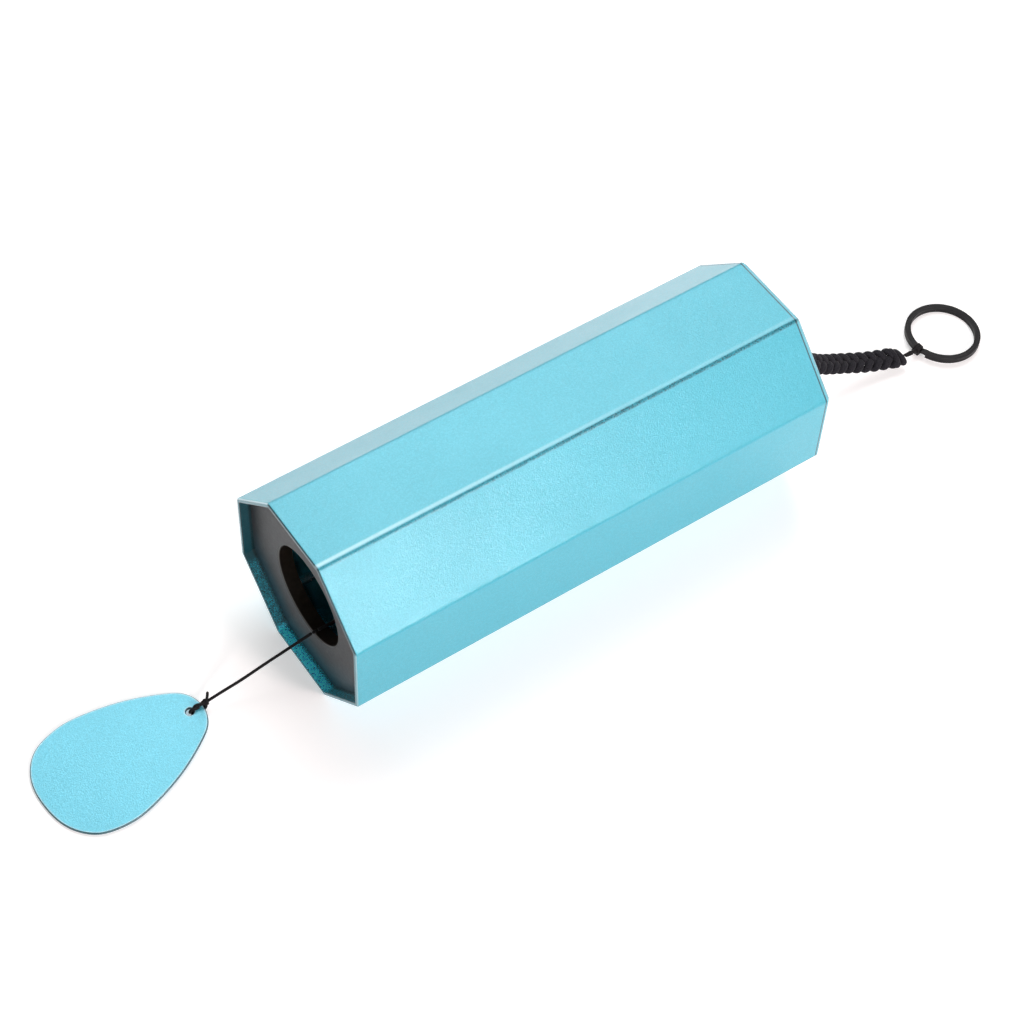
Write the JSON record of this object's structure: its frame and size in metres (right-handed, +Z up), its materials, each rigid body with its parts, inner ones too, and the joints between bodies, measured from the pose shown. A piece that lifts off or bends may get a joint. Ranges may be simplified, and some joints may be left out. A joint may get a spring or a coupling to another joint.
{
  "type": "wind chime",
  "caption": "Closed-tube chord wind chime: octagonal anodised resonator lying on a flat, tuned rods and clear striker inside, corded wind sail, braided lanyard with split ring.",
  "frame": {"origin": "centre of the shell's flat that rests on the table, half way along the shell", "axes": "+X along the tube from the open mouth to the lanyard end, +Z up, +Y to the left of +X"},
  "size_m": [0.3288, 0.062, 0.062],
  "materials": {
    "shell_anodised": "fine bead-blasted light blue anodising",
    "plate_grey": "dark grey satin",
    "cap_black": "black satin",
    "rod_steel": "drawn steel",
    "solder": "bright solder",
    "striker_clear": "clear acrylic",
    "cord_black": "waxed braided black cord",
    "sail_anodised": "fine bead-blasted light blue anodising",
    "ring_black": "black oxide, satin"
  },
  "bodies": {
    "chime": {"shell": "shell_anodised", "base_plate": "plate_grey", "top_cap": "cap_black", "solder_fillets": "solder", "lanyard_knot": "cord_black", "lanyard_stem": "cord_black", "tone_rod_1": "rod_steel", "tone_rod_2": "rod_steel", "tone_rod_3": "rod_steel", "tone_rod_4": "rod_steel", "tone_rod_5": "rod_steel", "tone_rod_6": "rod_steel", "tone_rod_7": "rod_steel", "tone_rod_8": "rod_steel"},
    "striker": {"striker_cord": "cord_black", "striker_upper_knot": "cord_black", "striker_disc": "striker_clear", "striker_lower_knot": "cord_black", "striker_drop_cord": "cord_black"},
    "cord_bend": {"sail_cord_bend": "cord_black"},
    "sail_line": {"sail_cord": "cord_black"},
    "knot": {"sail_knot": "cord_black"},
    "sail": {"sail": "sail_anodised", "sail_loop": "cord_black"},
    "lanyard_turn": {"lanyard_bend": "cord_black"},
    "lanyard": {"lanyard_neck": "cord_black", "lanyard_braid": "cord_black"},
    "ring_link": {"ring_cord": "cord_black"},
    "ring": {"ring_hitch": "cord_black", "split_ring": "ring_black"}
  },
  "joints": [
    {"name": "striker_lift", "type": "hinge", "parent": "chime", "child": "striker", "pos_m": [0.0688, 0, 0.031], "axis": [0, 1, 0], "range_deg": [0, 9], "deforming": ["striker_drop_cord"]},
    {"name": "sail_cord_swing", "type": "hinge", "parent": "chime", "child": "cord_bend", "pos_m": [-0.0762, -0.00235, 0.0163], "axis": [0, 0, 1], "range_deg": [-35, 35]},
    {"name": "sail_cord_lift", "type": "hinge", "parent": "cord_bend", "child": "sail_line", "pos_m": [-0.0777, -0.00235, 0.0163], "axis": [0, 1, 0], "range_deg": [0, 45]},
    {"name": "sail_swing", "type": "hinge", "parent": "sail_line", "child": "knot", "pos_m": [-0.11035, 0.00185, 0.003], "axis": [0, 0, 1], "range_deg": [-30, 30]},
    {"name": "sail_tilt", "type": "hinge", "parent": "knot", "child": "sail", "pos_m": [-0.11035, 0.00185, 0.003], "axis": [-0.0872, 0.9962, 0], "range_deg": [0, 50]},
    {"name": "lanyard_swing", "type": "hinge", "parent": "chime", "child": "lanyard_turn", "pos_m": [0.083, 0, 0.031], "axis": [0, 0, 1], "range_deg": [-60, 60]},
    {"name": "lanyard_lift", "type": "hinge", "parent": "lanyard_turn", "child": "lanyard", "pos_m": [0.0866, 0, 0.0304], "axis": [0, -1, 0], "range_deg": [0, 70]},
    {"name": "ring_swing", "type": "hinge", "parent": "lanyard", "child": "ring_link", "pos_m": [0.1367, -0.0072, 0.0034], "axis": [0, 0, 1], "range_deg": [-60, 60]},
    {"name": "ring_tilt", "type": "hinge", "parent": "ring_link", "child": "ring", "pos_m": [0.1393, -0.007, 0.0029], "axis": [0, -1, 0], "range_deg": [0, 100]}
  ]
}
